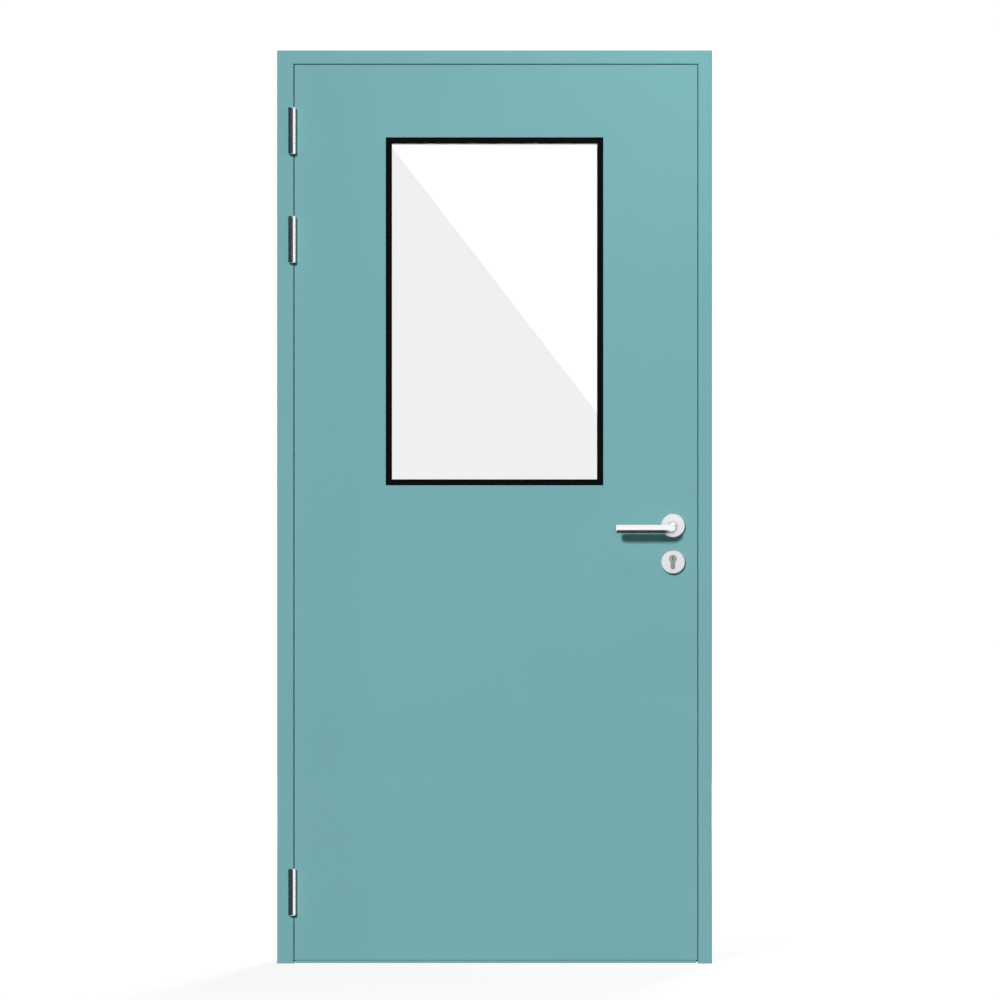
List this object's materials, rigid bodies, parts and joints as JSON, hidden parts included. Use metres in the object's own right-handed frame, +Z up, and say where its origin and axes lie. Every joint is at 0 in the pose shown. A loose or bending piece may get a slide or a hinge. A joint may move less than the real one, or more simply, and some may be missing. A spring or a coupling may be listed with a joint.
{
  "type": "clean-room door set",
  "caption": "Flush hinged clean-room door in a folded steel frame, with a black-bordered vision window, lever handle, key rose and barrel hinges",
  "frame": {"origin": "on the wall side of the hinge jamb, on its front lip, at floor level", "axes": "+X across the door from the hinge jamb to the lock jamb, +Y through the wall away from the side the door opens to, +Z up"},
  "size_m": [1, 0.174, 2.1],
  "materials": {
    "teal_paint": "satin powder coat",
    "stainless": "fine brushed",
    "black_trim": "satin black",
    "clear_glass": "clear float glass",
    "grey_seal": "matt",
    "zinc_steel": "zinc plated",
    "honeycomb": "paper honeycomb",
    "mill_aluminium": "mill finish",
    "nickel_brass": "satin nickel plate"
  },
  "bodies": {
    "frame": {"hinge_jamb": "teal_paint", "lock_jamb": "teal_paint", "head": "teal_paint", "hinge_jamb_seal": "grey_seal", "lock_jamb_seal": "grey_seal", "head_seal": "grey_seal", "hinge_jamb_gap_seal": "grey_seal", "lock_jamb_gap_seal": "grey_seal", "head_gap_seal": "grey_seal", "hinge_jamb_sleeves": "zinc_steel", "lock_jamb_sleeves": "zinc_steel", "hinge_backing_plates": "zinc_steel", "strike_plate": "stainless", "bottom_hinge_frame_half": "stainless", "middle_hinge_frame_half": "stainless", "top_hinge_frame_half": "stainless"},
    "leaf": {"front_skin": "teal_paint", "back_skin": "teal_paint", "front_rose": "stainless", "back_rose": "stainless", "front_key_rose": "stainless", "back_key_rose": "stainless", "forend": "stainless", "latch_bolt": "stainless", "dead_bolt": "stainless", "bottom_hinge_leaf_half": "stainless", "middle_hinge_leaf_half": "stainless", "top_hinge_leaf_half": "stainless", "front_bead_top": "black_trim", "front_bead_right": "black_trim", "front_bead_bottom": "black_trim", "front_bead_left": "black_trim", "back_bead_top": "black_trim", "back_bead_right": "black_trim", "back_bead_bottom": "black_trim", "back_bead_left": "black_trim", "glazing_spacer": "black_trim", "front_glass": "clear_glass", "back_glass": "clear_glass", "foot_seal": "grey_seal", "lock_case": "zinc_steel", "leaf_core": "honeycomb", "foot_rail": "mill_aluminium", "lock_cylinder": "nickel_brass"},
    "lever": {"front_lever": "stainless", "back_lever": "stainless", "spindle": "stainless"}
  },
  "joints": [
    {"name": "leaf_swing", "type": "hinge", "parent": "frame", "child": "leaf", "pos_m": [0.034, -0.0185, 1], "axis": [0, 0, -1], "range_deg": [0, 170]},
    {"name": "lever_turn", "type": "hinge", "parent": "leaf", "child": "lever", "pos_m": [0.91, 0.016, 1.007], "axis": [0, -1, 0], "range_deg": [0, 45], "stiffness_Nm_per_rad": 1.2, "springref_deg": -34.38}
  ]
}
